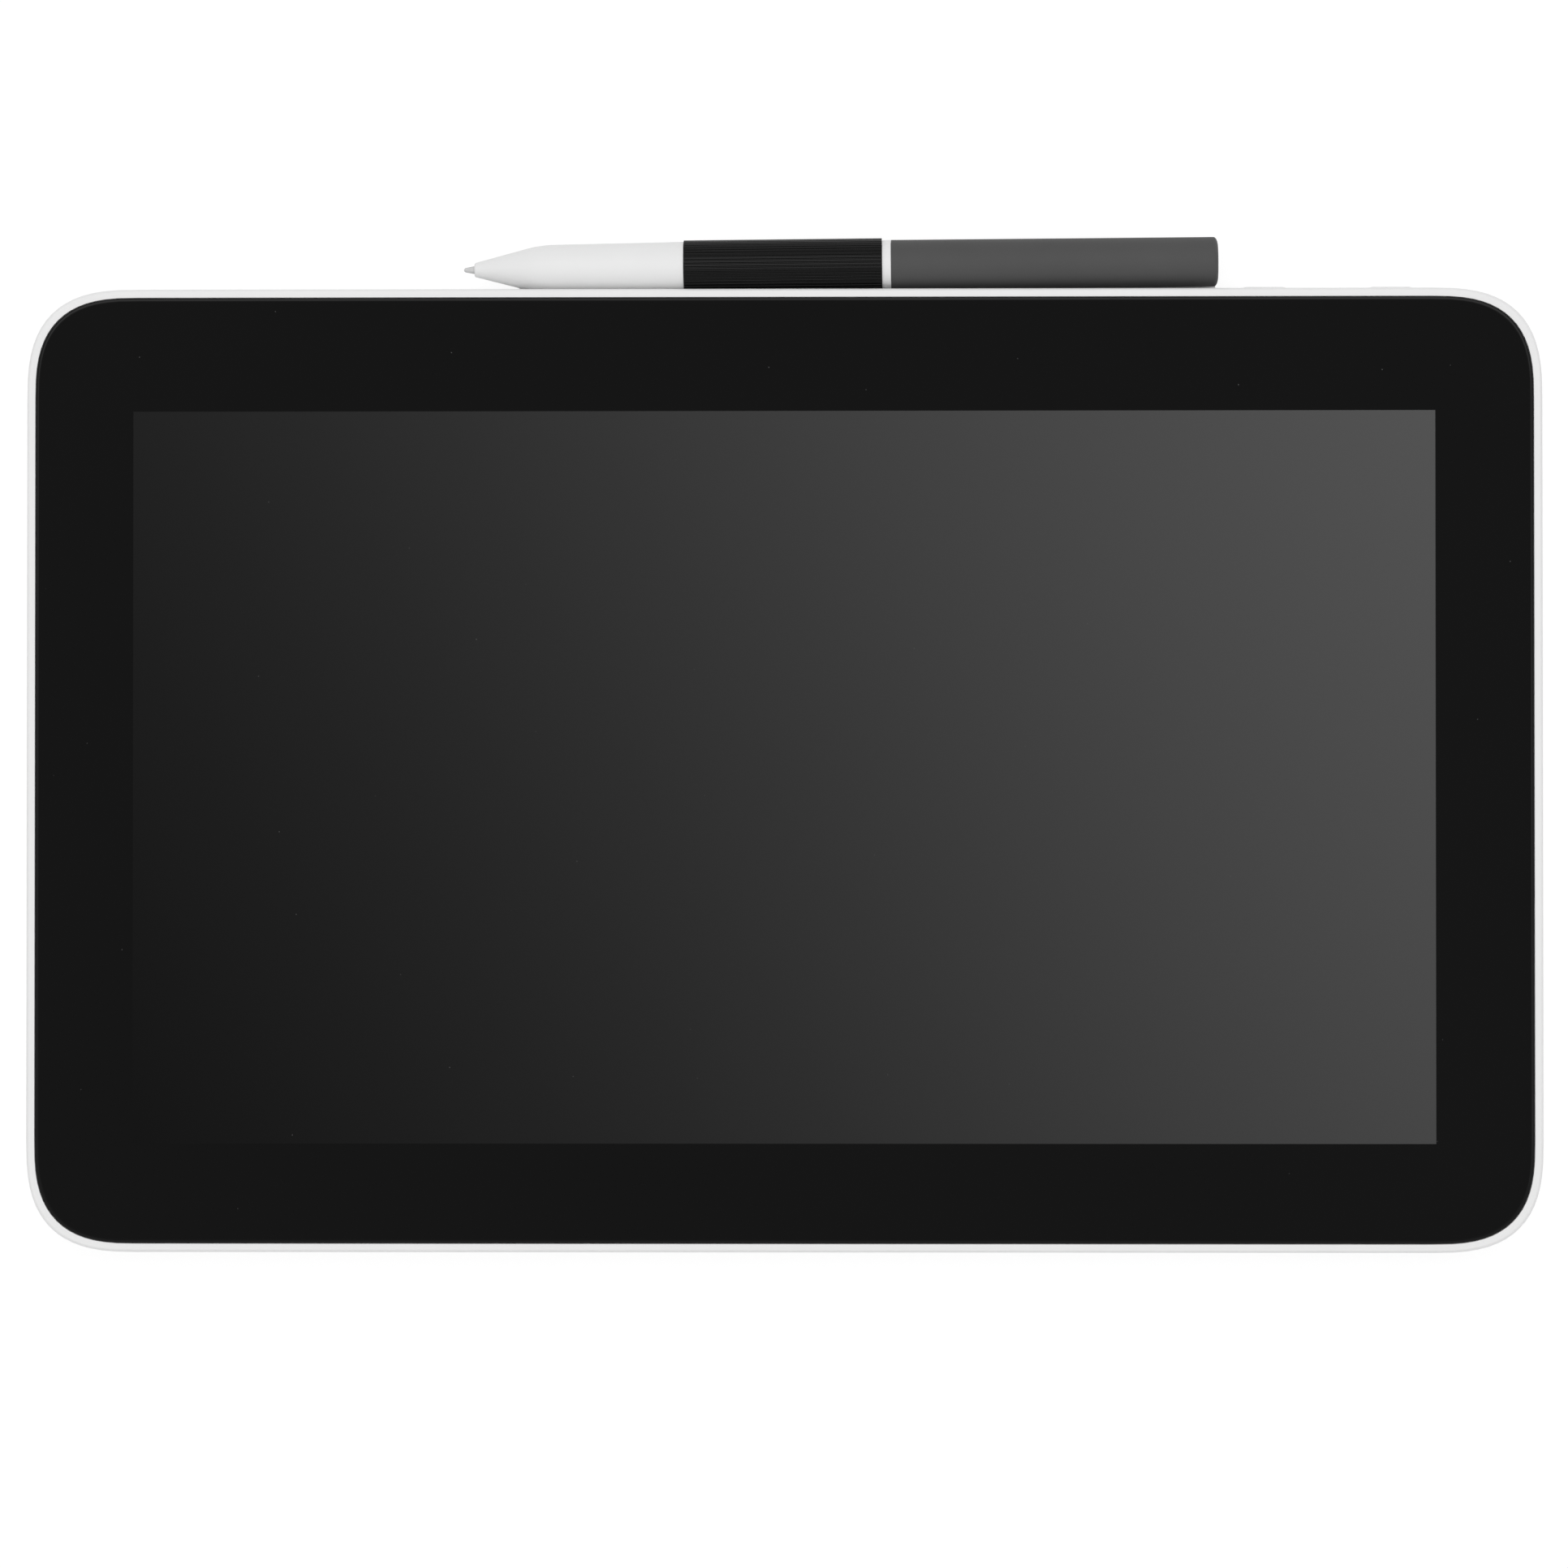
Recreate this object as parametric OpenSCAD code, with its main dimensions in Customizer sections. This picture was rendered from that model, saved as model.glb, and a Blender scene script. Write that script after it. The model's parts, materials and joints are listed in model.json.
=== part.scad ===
// Graphics tablet with a screen, lying on its feet with its pen in the rest along the far edge.
// Millimetres. X runs along the case, Y towards the pen rest, Z up from the desk.

/* [Case] */
// Height of the case from its back to the face of the glass
body_h = 13.8; // [13.5:0.1:15]
// Distance that each corner curve takes up along the edges
corner_reach = 21.9; // [18:0.1:24]
// Squareness of the corner curve, where 2 is a plain round
corner_power = 2.8; // [2:0.05:3]
// Wall of the rear shell
shell_wall = 2.2; // [2:0.1:2.3]
// Radius of the edge round the back
back_edge_r = 6; // [5:0.5:6.5]
// Flat land of the rim beside the glass
rim_land = 1; // [0.8:0.05:1.2]
// Height of the soft edge round the rim
rim_edge_h = 1; // [0.6:0.1:1.4]
// Width of the rim that shows round the glass
rim_w = 1.8; // [1.7:0.1:2]

/* [Screen] */
// Width of the picture
active_w = 256.9; // [235:0.1:290]
// Depth of the picture
active_d = 144.5; // [130:0.1:165]
// Black border at either side of the picture
border_side = 19.35; // [17:0.05:24]
// Black border between the picture and the pen rest
border_far = 22.45; // [20:0.05:26]
// Black border between the picture and the hand
border_near = 19.65; // [17:0.05:24]
// Thickness of the cover glass
glass_t = 1; // [0.8:0.1:1.1]
// Width of the rounded edge of the glass
glass_edge_w = 0.8; // [0.5:0.05:1]
// Height of the rounded edge of the glass
glass_edge_h = 0.25; // [0.2:0.05:0.4]
// Gap between the glass and the rim
glass_gap = 0.12; // [0.08:0.01:0.2]
// Thickness of the black print behind the glass
ink_t = 0.08; // [0.06:0.01:0.1]
// Thickness of the tape that holds the glass
tape_t = 0.3; // [0.2:0.05:0.4]
// Margin of the liquid crystal cell round the picture
lcd_margin = 2.5; // [2:0.1:3]
// Thickness of the liquid crystal cell
lcd_t = 1.1; // [0.9:0.1:1.2]
// Thickness of the light guide
guide_t = 2; // [1.6:0.1:2.1]
// Depth of the row of lamps beside the light guide
led_d = 2.4; // [2:0.1:3]
// Thickness of the reflector sheet
reflector_t = 0.2; // [0.15:0.05:0.25]
// Margin of the pen sensor round the liquid crystal cell
sensor_margin = 2.5; // [2:0.1:3]
// Thickness of the pen sensor
sensor_t = 0.8; // [0.6:0.1:0.9]
// Thickness of the steel shield
shield_t = 0.4; // [0.3:0.05:0.5]
// Sheet of the chassis pan
pan_t = 1; // [0.8:0.1:1.1]
// Gap between the pen sensor and the wall of the pan
pan_gap = 0.5; // [0.3:0.1:0.8]
// Distance of the pan's flange from the edge of the case
flange_margin = 4.5; // [4.2:0.1:6]

/* [Feet and screws] */
// Length of a foot
foot_len = 28; // [22:1:30]
// Width of a foot
foot_w = 9; // [8:0.5:12]
// Height that the feet lift the case off the desk
foot_proud = 1.2; // [0.8:0.1:2]
// Depth that a foot is let into the back
foot_sunk = 0.7; // [0.5:0.05:0.8]
// Middle of a foot from the end of the case
foot_from_end = 21.7; // [20:0.1:24]
// Middle of a foot from the near and far edges of the case
foot_from_edge = 29.2; // [25:0.1:40]
// Radius of a case screw's shank
screw_r = 1.25; // [1:0.05:1.4]
// Radius of a case screw's head
screw_head_r = 2.6; // [2.2:0.1:2.8]
// Height of a case screw's head
screw_head_h = 0.6; // [0.5:0.05:0.65]

/* [Pen rest] */
// Start of the rest behind the pen's tip
rest_from_tip = 8.2; // [7.6:0.1:9]
// Length of the tail that stands past the end of the rest
tail_past_rest = 0.4; // [0:0.1:0.6]
// Distance that the ledge stands out from the edge of the case
rest_reach = 7.6; // [7:0.1:8]
// Material under the lowest line of the channel
rest_floor = 1.5; // [1.3:0.1:1.7]
// Height of the ledge's underside over the back of the case
rest_up = 1.2; // [0.8:0.1:1.4]
// Distance of the channel's axis out from the edge of the case
channel_out = 4.7; // [4.4:0.05:4.9]
// Room between the grip and the channel
channel_room = 0.5; // [0.45:0.05:0.7]

/* [Pen] */
// Gap along the edge between the pen's tail and the power button
pen_gap = 4.1; // [3.5:0.1:6]
// Turn of the pen in its channel, in degrees
pen_skew = 0.55; // [0.35:0.05:0.65]
// Gap between the lying pen and the channel
pen_lift = 0.25; // [0.15:0.05:0.3]
// Length of the nib that shows
nib_len = 2.1; // [1.6:0.1:2.4]
// Radius of the nib where it enters the pen
nib_r = 0.8; // [0.7:0.05:0.82]
// Half angle of the pen's nose, in degrees
nose_angle = 14.7; // [13.5:0.1:15.5]
// Radius of the pen's nose at its front face
nose_r = 1.36; // [1.3:0.02:1.5]
// Length of the white front of the pen behind the nib
front_len = 41.5; // [40:0.1:42]
// Radius of the white front at the grip
front_r = 5.1; // [4.6:0.05:5.7]
// Height of the grip's ribs over the white front
grip_proud = 0.3; // [0.2:0.05:0.4]
// Length of the grip
grip_len = 39.3; // [38:0.1:40]
// Ribs round the grip
grip_ribs = 48; // [36:2:52]
// Depth of the grooves between the ribs
grip_groove = 0.2; // [0.15:0.01:0.25]
// Length of the collar behind the grip
collar_len = 1.7; // [1.2:0.05:2]
// Length of the tail
tail_len = 64.7; // [63:0.1:64.7]
// Taper of the tail's radius from the collar to its end
tail_taper = 0.13; // [0.05:0.01:0.2]

/* [Pen switch] */
// Middle of the side switch in front of the grip
switch_from_grip = 12.6; // [12:0.1:14]
// Length of the side switch
switch_len = 20; // [17:0.5:20.5]
// Width of the side switch
switch_w = 3.6; // [3:0.1:3.8]
// Height of the side switch over the white front
switch_proud = 0.25; // [0.15:0.05:0.3]

/* [Buttons and ports] */
// Menu button from the end of the case
menu_from_end = 29.6; // [28:0.1:33]
// Distance between the two buttons
button_pitch = 24.9; // [22:0.1:28]
// Length of a button
button_len = 10.2; // [9:0.1:10.5]
// Height of a button
button_h = 3.4; // [3:0.1:3.6]
// Height that a button stands proud of the edge
button_proud = 0.32; // [0.2:0.02:0.4]
// Length of the slope at either end of a button's face
button_ramp = 1.6; // [1.2:0.1:2.5]
// Travel of a button
button_travel = 0.3; // [0.2:0.05:0.3]
// Gap round a button in the shell
button_gap = 0.12; // [0.08:0.01:0.2]
// Left port from the end of the case
port_from_end = 42; // [38:0.5:46]
// Distance between the two ports
port_pitch = 18; // [16:0.5:20]
// Width of a port's steel shell
port_w = 8.94; // [8.9:0.02:9]
// Height of a port's steel shell
port_h = 3.26; // [3.2:0.02:3.3]
// Depth of a port
port_depth = 7.3; // [6.8:0.1:7.6]
// Gap round a port in the shell
port_gap = 0.2; // [0.12:0.02:0.25]

/* [Boards] */
// Room between the boards and the pan over them
board_room = 1.2; // [1.1:0.1:1.6]
// Depth of the main board
main_board_d = 33; // [30:1:36]
// Depth of the button board
button_board_d = 7; // [6.5:0.5:9]
// Thickness of the boards
board_t = 1.2; // [1:0.1:1.2]
// Radius of a post under a board
post_r = 2.2; // [2:0.1:2.6]
// Radius of a board screw's shank
board_screw_r = 0.7; // [0.6:0.05:0.9]

/* [Hidden] */
$fn = 64;
corner_steps = 16;
slack = 0.05;

// Size of the case, from the picture out
body_w = active_w + 2 * (border_side + rim_w);
body_d = active_d + border_far + border_near + 2 * rim_w;
active_shift = (border_near - border_far) / 2;

// Levels from the desk up
z_back = foot_proud;
z_floor = z_back + shell_wall;
z_face = z_back + body_h;
z_rim = z_face - glass_edge_h;
z_glass = z_face - glass_t;
z_ink = z_glass - ink_t;
z_flange = z_ink - tape_t;
z_lcd = z_ink - lcd_t;
z_guide = z_lcd - guide_t;
z_reflector = z_guide - reflector_t;
z_sensor = z_reflector - sensor_t;
z_shield = z_sensor - shield_t;
z_pan = z_shield - pan_t;
z_board_top = z_pan - board_room;
z_board = z_board_top - board_t;

// Places across the case
edge_y = body_d / 2;
wall_y = edge_y - shell_wall;
inner_edge_r = back_edge_r - shell_wall;
mask_inset = shell_wall + 0.2;
rim_edge_w = rim_w - glass_gap - rim_land;
foot_x = body_w / 2 - foot_from_end;
foot_y = body_d / 2 - foot_from_edge;
menu_x = body_w / 2 - menu_from_end;
power_x = menu_x - button_pitch;
port_left_x = port_from_end - body_w / 2;
port_right_x = port_left_x + port_pitch;

// Sizes of the screen's layers
lcd_w = active_w + 2 * lcd_margin;
lcd_d = active_d + 2 * lcd_margin;
sensor_w = lcd_w + 2 * sensor_margin;
sensor_d = lcd_d + 2 * sensor_margin;
pan_in_w = sensor_w + 2 * pan_gap;
pan_in_d = sensor_d + 2 * pan_gap;
tape_inset = 1;

// Ribbons that pass behind the screen to the main board
ribbon_t = 0.2;
ribbon_w = 10;
ribbon_gap = 5;
ribbon_slot_d = 4;
lcd_edge_y = active_shift + lcd_d / 2;
panel_ribbon_at = [port_left_x + ribbon_gap / 2, lcd_edge_y];
ribbon_offset = 8;
sensor_ribbon_at = panel_ribbon_at + [ribbon_w + ribbon_gap, -ribbon_offset];
connector_h = board_room - 0.3;

// Case screws, which the feet cover
boss_r = 3.6;
boss_h = 1;
z_split = z_floor + boss_h;
z_head = z_back + foot_sunk + 0.1;
screw_len = z_pan - z_head - screw_head_h - 1;

// Pen: distances along its axis from the tip
s_nose = nib_len;
s_grip = nib_len + front_len;
s_collar = s_grip + grip_len;
s_tail = s_collar + collar_len;
s_end = s_tail + tail_len;
s_grip_mid = s_grip + grip_len / 2;
pen_tip_x = power_x - button_len / 2 - pen_gap - s_end * cos(pen_skew);
rest_start = pen_tip_x + rest_from_tip;
rest_end = pen_tip_x + s_end * cos(pen_skew) - tail_past_rest;
ledge_run_in = 12;
grip_r = front_r + grip_proud;
collar_r = front_r - 0.1;
tail_front_r = front_r - 0.07;
tail_end_r = tail_front_r - tail_taper;
channel_r = grip_r + channel_room;
channel_z = z_back + rest_up + rest_floor + channel_r;
pen_z = channel_z - channel_room + pen_lift;
pen_tip_y = edge_y + channel_out - s_grip_mid * sin(pen_skew);
pen_overhang = pen_tip_y + s_end * sin(pen_skew) + tail_end_r - edge_y;
backing_t = 1.8;
backing_y = edge_y + channel_out - channel_r - backing_t;

// Pen: nose blend, worked out from the cone and the barrel that it joins
barrel_angle = 0.63;
blend_r = 23;
cone_slope = tan(nose_angle);
barrel_slope = tan(barrel_angle);
nose_edge = 0.2;
s_blend = (front_r - barrel_slope * s_grip - nose_r + cone_slope * s_nose) / (cone_slope - barrel_slope);
r_blend = nose_r + cone_slope * (s_blend - s_nose);
blend_tangent = blend_r * tan((nose_angle - barrel_angle) / 2);

// Pen: inside
spigot_r = front_r - 0.65;
spigot_len = 7.8;
spigot_end = s_tail + spigot_len;
bore_r = spigot_r - 0.95;
core_r = bore_r - 0.1;
core_in_r = core_r - 1;
core_start = 17.5;
core_end = spigot_end - 1;
core_flat = core_r - 0.6;
tail_in_r = tail_end_r - 1;
tail_end_t = 5;
tail_cone = 3;
dome_reach = [1.8, 0.9];
coil = [14, 25];
nib_end = 28;
holder = [25.6, 30.2];
holder_r = 1.8;
sensor = [31, 36];
pen_board_s = [38, core_end - 3];
keeper = [s_tail + 20, s_tail + 44];

// Pen: side switch, which hangs on a pin under the barrel
switch_at = s_grip - switch_from_grip;
switch_out = front_r + switch_proud;
switch_in = front_r - 1.35;
switch_gap = 0.2;
switch_crown_r = 100;
switch_pin_r = 0.4;
switch_pin_z = 0.8 - front_r;
switch_pin_sunk = 0.07;
barrel_r_there = front_r - switch_from_grip * barrel_slope;
switch_pin_len = 2 * (sqrt(pow(barrel_r_there, 2) - pow(switch_pin_z, 2)) - switch_pin_sunk);
dome_from_mid = 6.5;

// Buttons, switches and ports
switch_body = [4.6, 3.4, 3.5];
button_z = z_board_top + switch_body.z / 2;
button_lip = 0.5;
button_flange_t = 0.8;
button_play = 0.2;
button_back_y = wall_y - button_play - button_flange_t;
plunger_y = button_back_y - button_travel - 0.1;
plunger_len = 0.8;
light_x = (power_x + menu_x) / 2;
light_r = 0.8;
port_z = z_board_top + port_h / 2;
port_recess = 0.4;
port_sheet = 0.3;
port_hollow = [port_w - 2 * port_sheet, port_h - 2 * port_sheet];
port_back = 1;
port_mouth_y = edge_y - port_recess;
tongue = [6.7, 4.5, 0.7];
tongue_root = 1.2;
tongue_fit = 0.03;
board_edge_y = wall_y - 2;
board_left = 9;
board_right = 16;
button_board_past = 8.5;
main_board = [
    port_left_x - board_left, board_edge_y - main_board_d,
    port_right_x + board_right, board_edge_y
];
button_board = [
    power_x - button_board_past, board_edge_y - button_board_d,
    menu_x + button_board_past, board_edge_y
];
post_in = 4;
post_in_far = 8;
button_post_in = 2.6;

// Magnets behind the channel
magnet = [14, 2.6, 4.4];
magnet_x = [for (share = [0.2, 0.5, 0.8]) rest_start + share * (rest_end - rest_start)];

// Colours
white = [0.82, 0.82, 0.82];
dark_rubber = [0.1, 0.1, 0.1];
steel = [0.62, 0.63, 0.64];
board_green = [0.05, 0.25, 0.14];
amber = [0.72, 0.42, 0.1];

// Outline of the case with corner curves of growing curvature, taken in by inset.
function outline(w, d, reach) = [
    for (q = [0:3], i = [0:corner_steps])
        let (a = 90 * (q + i / corner_steps), bend = 2 / corner_power)
        let (x = w / 2 - reach + reach * pow(abs(cos(a)), bend))
        let (y = d / 2 - reach + reach * pow(abs(sin(a)), bend))
        [q == 0 || q == 3 ? x : -x, q < 2 ? y : -y]
];
function case_outline(inset) = outline(body_w - 2 * inset, body_d - 2 * inset, corner_reach - inset);

// Quarter rounds as [inset, height], from a flat to an upright wall and from an upright wall to a flat.
function round_up(r, step) = [for (a = [0:step:90]) [r * (1 - sin(a)), r * (1 - cos(a))]];
function round_over(w, h, step) = [for (a = [0:step:90]) [w * (1 - cos(a)), h * sin(a)]];
function moved(points, by) = [for (p = points) p + by];
function reversed(list) = [for (i = [len(list) - 1:-1:0]) list[i]];

// Solid through rings of the case's outline, each [inset, height], capped at the first and last.
module loft(rings) {
    n = len(case_outline(0));
    points = [for (ring = rings) for (p = case_outline(ring[0])) [p.x, p.y, ring[1]]];
    walls = [
        for (k = [0:len(rings) - 2], i = [0:n - 1])
            let (j = (i + 1) % n)
            [k * n + i, (k + 1) * n + i, (k + 1) * n + j, k * n + j]
    ];
    last = (len(rings) - 1) * n;
    caps = [[for (i = [0:n - 1]) i], [for (i = [n - 1:-1:0]) last + i]];
    polyhedron(points, concat(walls, caps));
}

// Flat plate with the outline of the case.
module plate(inset, z, t) translate([0, 0, z]) linear_extrude(t) polygon(case_outline(inset));

// Flat box centred on the picture.
module layer(w, d, z, t) translate([-w / 2, active_shift - d / 2, z]) cube([w, d, t]);

// Long round-ended outline.
module stadium(w, h) {
    square([w - h, h], center = true);
    for (side = [-1, 1]) translate([side * (w - h) / 2, 0]) circle(d = h);
}

// Round-ended bar that runs from y in towards the middle of the case.
module edge_bar(x, y, z, w, h, depth) {
    translate([x, y, z]) rotate([90, 0, 0]) linear_extrude(depth) stadium(w, h);
}

// Opening through the far wall of the shell.
module edge_hole(x, z, w, h) edge_bar(x, edge_y + 1, z, w, h, shell_wall + 2);

// Places at the four feet, and at the screws that hold the two boards.
module at_feet() for (x = [-foot_x, foot_x], y = [-foot_y, foot_y]) translate([x, y, 0]) children();
module at_board_screws() {
    for (x = [main_board[0] + post_in, main_board[2] - post_in])
        for (y = [main_board[1] + post_in, main_board[3] - post_in_far]) translate([x, y, 0]) children();
    for (x = [button_board[0] + button_post_in, button_board[2] - button_post_in])
        translate([x, (button_board[1] + button_board[3]) / 2, 0]) children();
}
module board_plate(board) {
    translate([board[0], board[1], z_board]) cube([board[2] - board[0], board[3] - board[1], board_t]);
}

// Rear shell: a lofted tray with the pen's ledge, its channel and the openings in the far edge.
module shell_tray() {
    loft(concat(
        moved(round_up(back_edge_r, 15), [0, z_back]),
        moved(round_over(rim_edge_w, rim_edge_h, 18), [0, z_rim - rim_edge_h]),
        [[rim_w - glass_gap, z_rim], [rim_w - glass_gap, z_glass], [shell_wall, z_glass]],
        moved(reversed(round_up(inner_edge_r, 22.5)), [shell_wall, z_floor])
    ));
}

// Plan of the ledge: it swells out of the edge at one end and stops short at the other.
// Both ends run in under the rounded back of the case.
module ledge_plan() {
    root_r = 4;
    end_root_r = 0.6;
    end_r = rest_reach - root_r + 0.1;
    out_y = edge_y + rest_reach;
    in_y = edge_y - shell_wall - 2;
    turn_y = out_y - end_r;
    translate([rest_start + root_r + end_r, in_y])
        square([rest_end - rest_start - root_r - 2 * end_r, out_y - in_y]);
    translate([rest_start + root_r, in_y]) square([rest_end - rest_start - root_r, turn_y - in_y]);
    for (x = [rest_start + root_r + end_r, rest_end - end_r]) translate([x, turn_y]) circle(end_r);
    difference() {
        translate([rest_start, in_y]) square([root_r + 0.5, turn_y - in_y]);
        translate([rest_start, turn_y]) circle(root_r);
    }
    difference() {
        translate([rest_end - 0.5, in_y]) square([end_root_r + 0.5, edge_y + end_root_r - in_y]);
        translate([rest_end + end_root_r, edge_y + end_root_r]) circle(end_root_r);
    }
    intersection() {
        for (end = [[rest_start, turn_y - root_r], [rest_end + end_root_r, edge_y]])
            translate([end.x, end.y - ledge_run_in]) circle(ledge_run_in);
        translate([rest_start - ledge_run_in, in_y])
            square([rest_end - rest_start + 2 * ledge_run_in, turn_y - in_y]);
    }
}

module ledge_section() {
    low = z_back + rest_up;
    lip_h = rest_floor + 1;
    in_y = edge_y - shell_wall - 2.5;
    nose_y = edge_y + rest_reach - lip_h / 2;
    translate([in_y, low]) square([nose_y - in_y, lip_h]);
    translate([nose_y, low + lip_h / 2]) circle(d = lip_h);
}

module pen_ledge() {
    intersection() {
        translate([rest_start - ledge_run_in, 0, 0]) rotate([90, 0, 90])
            linear_extrude(rest_end - rest_start + 2 * ledge_run_in) ledge_section();
        linear_extrude(z_face) ledge_plan();
    }
}

module pen_channel() {
    ball_x = rest_start + channel_r;
    straight = rest_end - ball_x + 0.2;
    run_out = channel_r - channel_out;
    translate([ball_x, edge_y + channel_out, channel_z]) rotate([0, 90, 0]) rotate_extrude($fn = 96) {
        polygon([
            [0, 0], [channel_r, 0], [channel_r, straight],
            [channel_out, straight + run_out], [0, straight + run_out]
        ]);
        intersection() {
            circle(channel_r);
            translate([0, -channel_r]) square([channel_r, channel_r]);
        }
    }
}

module channel_backing() {
    top = channel_z + channel_r / 2;
    translate([rest_start, backing_y, z_floor - slack])
        cube([rest_end - rest_start + backing_t, wall_y + 0.5 - backing_y, top - z_floor]);
}

module rear_shell() {
    color(white) difference() {
        union() {
            shell_tray();
            pen_ledge();
            channel_backing();
            at_feet() translate([0, 0, z_floor - slack]) cylinder(r = boss_r, h = boss_h + slack);
            at_board_screws() translate([0, 0, z_floor - slack])
                cylinder(r = post_r, h = z_board - z_floor + slack);
        }
        pen_channel();
        at_feet() {
            translate([0, 0, z_back - 1]) linear_extrude(foot_sunk + 1) stadium(foot_len + 0.4, foot_w + 0.4);
            cylinder(r = screw_head_r + 0.2, h = z_head + screw_head_h);
            cylinder(r = screw_r + 0.15, h = z_split + 1);
        }
        at_board_screws() translate([0, 0, z_floor]) cylinder(r = board_screw_r + slack, h = z_board);
        for (x = [power_x, menu_x])
            edge_hole(x, button_z, button_len + 2 * button_gap, button_h + 2 * button_gap);
        for (x = [port_left_x, port_right_x])
            edge_hole(x, port_z, port_w + 2 * port_gap, port_h + 2 * port_gap);
        translate([light_x, edge_y + 1, button_z]) rotate([90, 0, 0])
            cylinder(r = light_r + slack, h = shell_wall + 2);
    }
}

module rubber_feet() {
    color(dark_rubber) at_feet() linear_extrude(z_back + foot_sunk) stadium(foot_len, foot_w);
}

module case_screws() {
    color(steel) at_feet() translate([0, 0, z_head]) difference() {
        union() {
            cylinder(r = screw_head_r, h = screw_head_h);
            translate([0, 0, screw_head_h - slack]) cylinder(r = screw_r, h = screw_len);
        }
        translate([0, 0, -1]) cylinder(r = 0.9, h = 1.3, $fn = 6);
    }
}

// Screen: cover glass and the layers behind it.
module cover_glass() {
    color([0.03, 0.03, 0.03]) loft(concat(
        [[rim_w, z_glass]],
        moved(round_over(glass_edge_w, glass_edge_h, 15), [rim_w, z_rim])
    ));
}

module border_mask() {
    color([0.01, 0.01, 0.01]) difference() {
        plate(mask_inset, z_ink, ink_t);
        layer(active_w, active_d, z_ink - 1, ink_t + 2);
    }
}

module bonding_film() color([0.2, 0.2, 0.2]) layer(active_w, active_d, z_ink, ink_t);

module glass_tape() {
    color([0.05, 0.05, 0.05]) difference() {
        plate(flange_margin + tape_inset, z_flange, tape_t);
        layer(pan_in_w + 2 * tape_inset, pan_in_d + 2 * tape_inset, z_flange - 1, tape_t + 2);
    }
}

module lcd_cell() color([0.12, 0.12, 0.13]) layer(lcd_w, lcd_d, z_lcd, lcd_t);

module light_guide() {
    color([0.9, 0.92, 0.94]) translate([-lcd_w / 2, active_shift - lcd_d / 2 + led_d, z_guide])
        cube([lcd_w, lcd_d - led_d, guide_t]);
}

module led_strip() {
    color([0.9, 0.85, 0.5]) translate([-lcd_w / 2, active_shift - lcd_d / 2, z_guide])
        cube([lcd_w, led_d, guide_t]);
}

module reflector_sheet() color([0.95, 0.95, 0.95]) layer(lcd_w, lcd_d, z_reflector, reflector_t);

// Slots that let the two ribbons through the layers below the screen.
module ribbon_slot(at, z, t) {
    translate([at.x - ribbon_gap / 2, at.y - ribbon_slot_d / 2 + 0.5, z])
        cube([ribbon_w + ribbon_gap, ribbon_slot_d, t]);
}
module ribbon_slots(z, t) for (at = [panel_ribbon_at, sensor_ribbon_at]) ribbon_slot(at, z, t);

module sensor_board() {
    color(board_green) difference() {
        layer(sensor_w, sensor_d, z_sensor, sensor_t);
        ribbon_slot(panel_ribbon_at, z_sensor - 1, sensor_t + 2);
    }
}

module shield_plate() {
    color(steel) difference() {
        layer(sensor_w, sensor_d, z_shield, shield_t);
        ribbon_slots(z_shield - 1, shield_t + 2);
    }
}

// Chassis pan: a pressed tray that carries the screen and hangs on its flange and bosses.
module chassis_pan() {
    color([0.45, 0.46, 0.47]) difference() {
        union() {
            plate(flange_margin, z_flange - pan_t, pan_t);
            layer(pan_in_w + 2 * pan_t, pan_in_d + 2 * pan_t, z_pan, z_flange - z_pan);
            at_feet() translate([0, 0, z_split]) cylinder(r = boss_r, h = z_pan - z_split + slack);
        }
        layer(pan_in_w, pan_in_d, z_shield, z_face);
        ribbon_slots(z_pan - 1, pan_t + 2);
        at_feet() translate([0, 0, z_split - 1]) cylinder(r = screw_r + slack, h = z_pan - z_split + 1);
    }
}

// Boards, ports and ribbons.
module main_board() {
    color(board_green) difference() {
        board_plate(main_board);
        board_screw_holes();
    }
}

module board_screw_holes() {
    at_board_screws() translate([0, 0, z_board - 1]) cylinder(r = board_screw_r + 0.2, h = board_t + 2);
}

// Chips, and the connectors that the ribbons stand on.
module board_chips() {
    chip = [10, 10, connector_h];
    coder = [8, 8, connector_h];
    chip_gap = 4;
    color([0.08, 0.08, 0.08]) {
        translate([panel_ribbon_at.x, panel_ribbon_at.y - chip_gap - chip.y, z_board_top]) cube(chip);
        translate([sensor_ribbon_at.x, sensor_ribbon_at.y + chip_gap, z_board_top]) cube(coder);
    }
    color([0.85, 0.8, 0.65]) for (at = [panel_ribbon_at, sensor_ribbon_at])
        translate([at.x, at.y - 1, z_board_top]) cube([ribbon_w, 3, connector_h]);
}

module board_screws() {
    deep = 1.6;
    color(steel) at_board_screws() {
        translate([0, 0, z_board_top]) cylinder(r = 1.8, h = 0.7);
        translate([0, 0, z_board - deep]) cylinder(r = board_screw_r, h = deep + board_t + slack);
    }
}

module usb_port(x) {
    color(steel) difference() {
        edge_bar(x, port_mouth_y, port_z, port_w, port_h, port_depth);
        edge_bar(x, port_mouth_y + port_back, port_z, port_hollow.x, port_hollow.y, port_depth);
    }
}

module usb_port_left() usb_port(port_left_x);
module usb_port_right() usb_port(port_right_x);

// Plastic blocks at the back of the ports, each with the tongue that a plug goes over.
module tongue_plan() {
    corner_r = 0.6;
    long = tongue.y - corner_r;
    translate([-tongue.x / 2, 0]) square([tongue.x, long]);
    translate([corner_r - tongue.x / 2, 0]) square([tongue.x - 2 * corner_r, tongue.y]);
    for (side = [-1, 1]) translate([side * (tongue.x / 2 - corner_r), long]) circle(corner_r);
}

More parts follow.
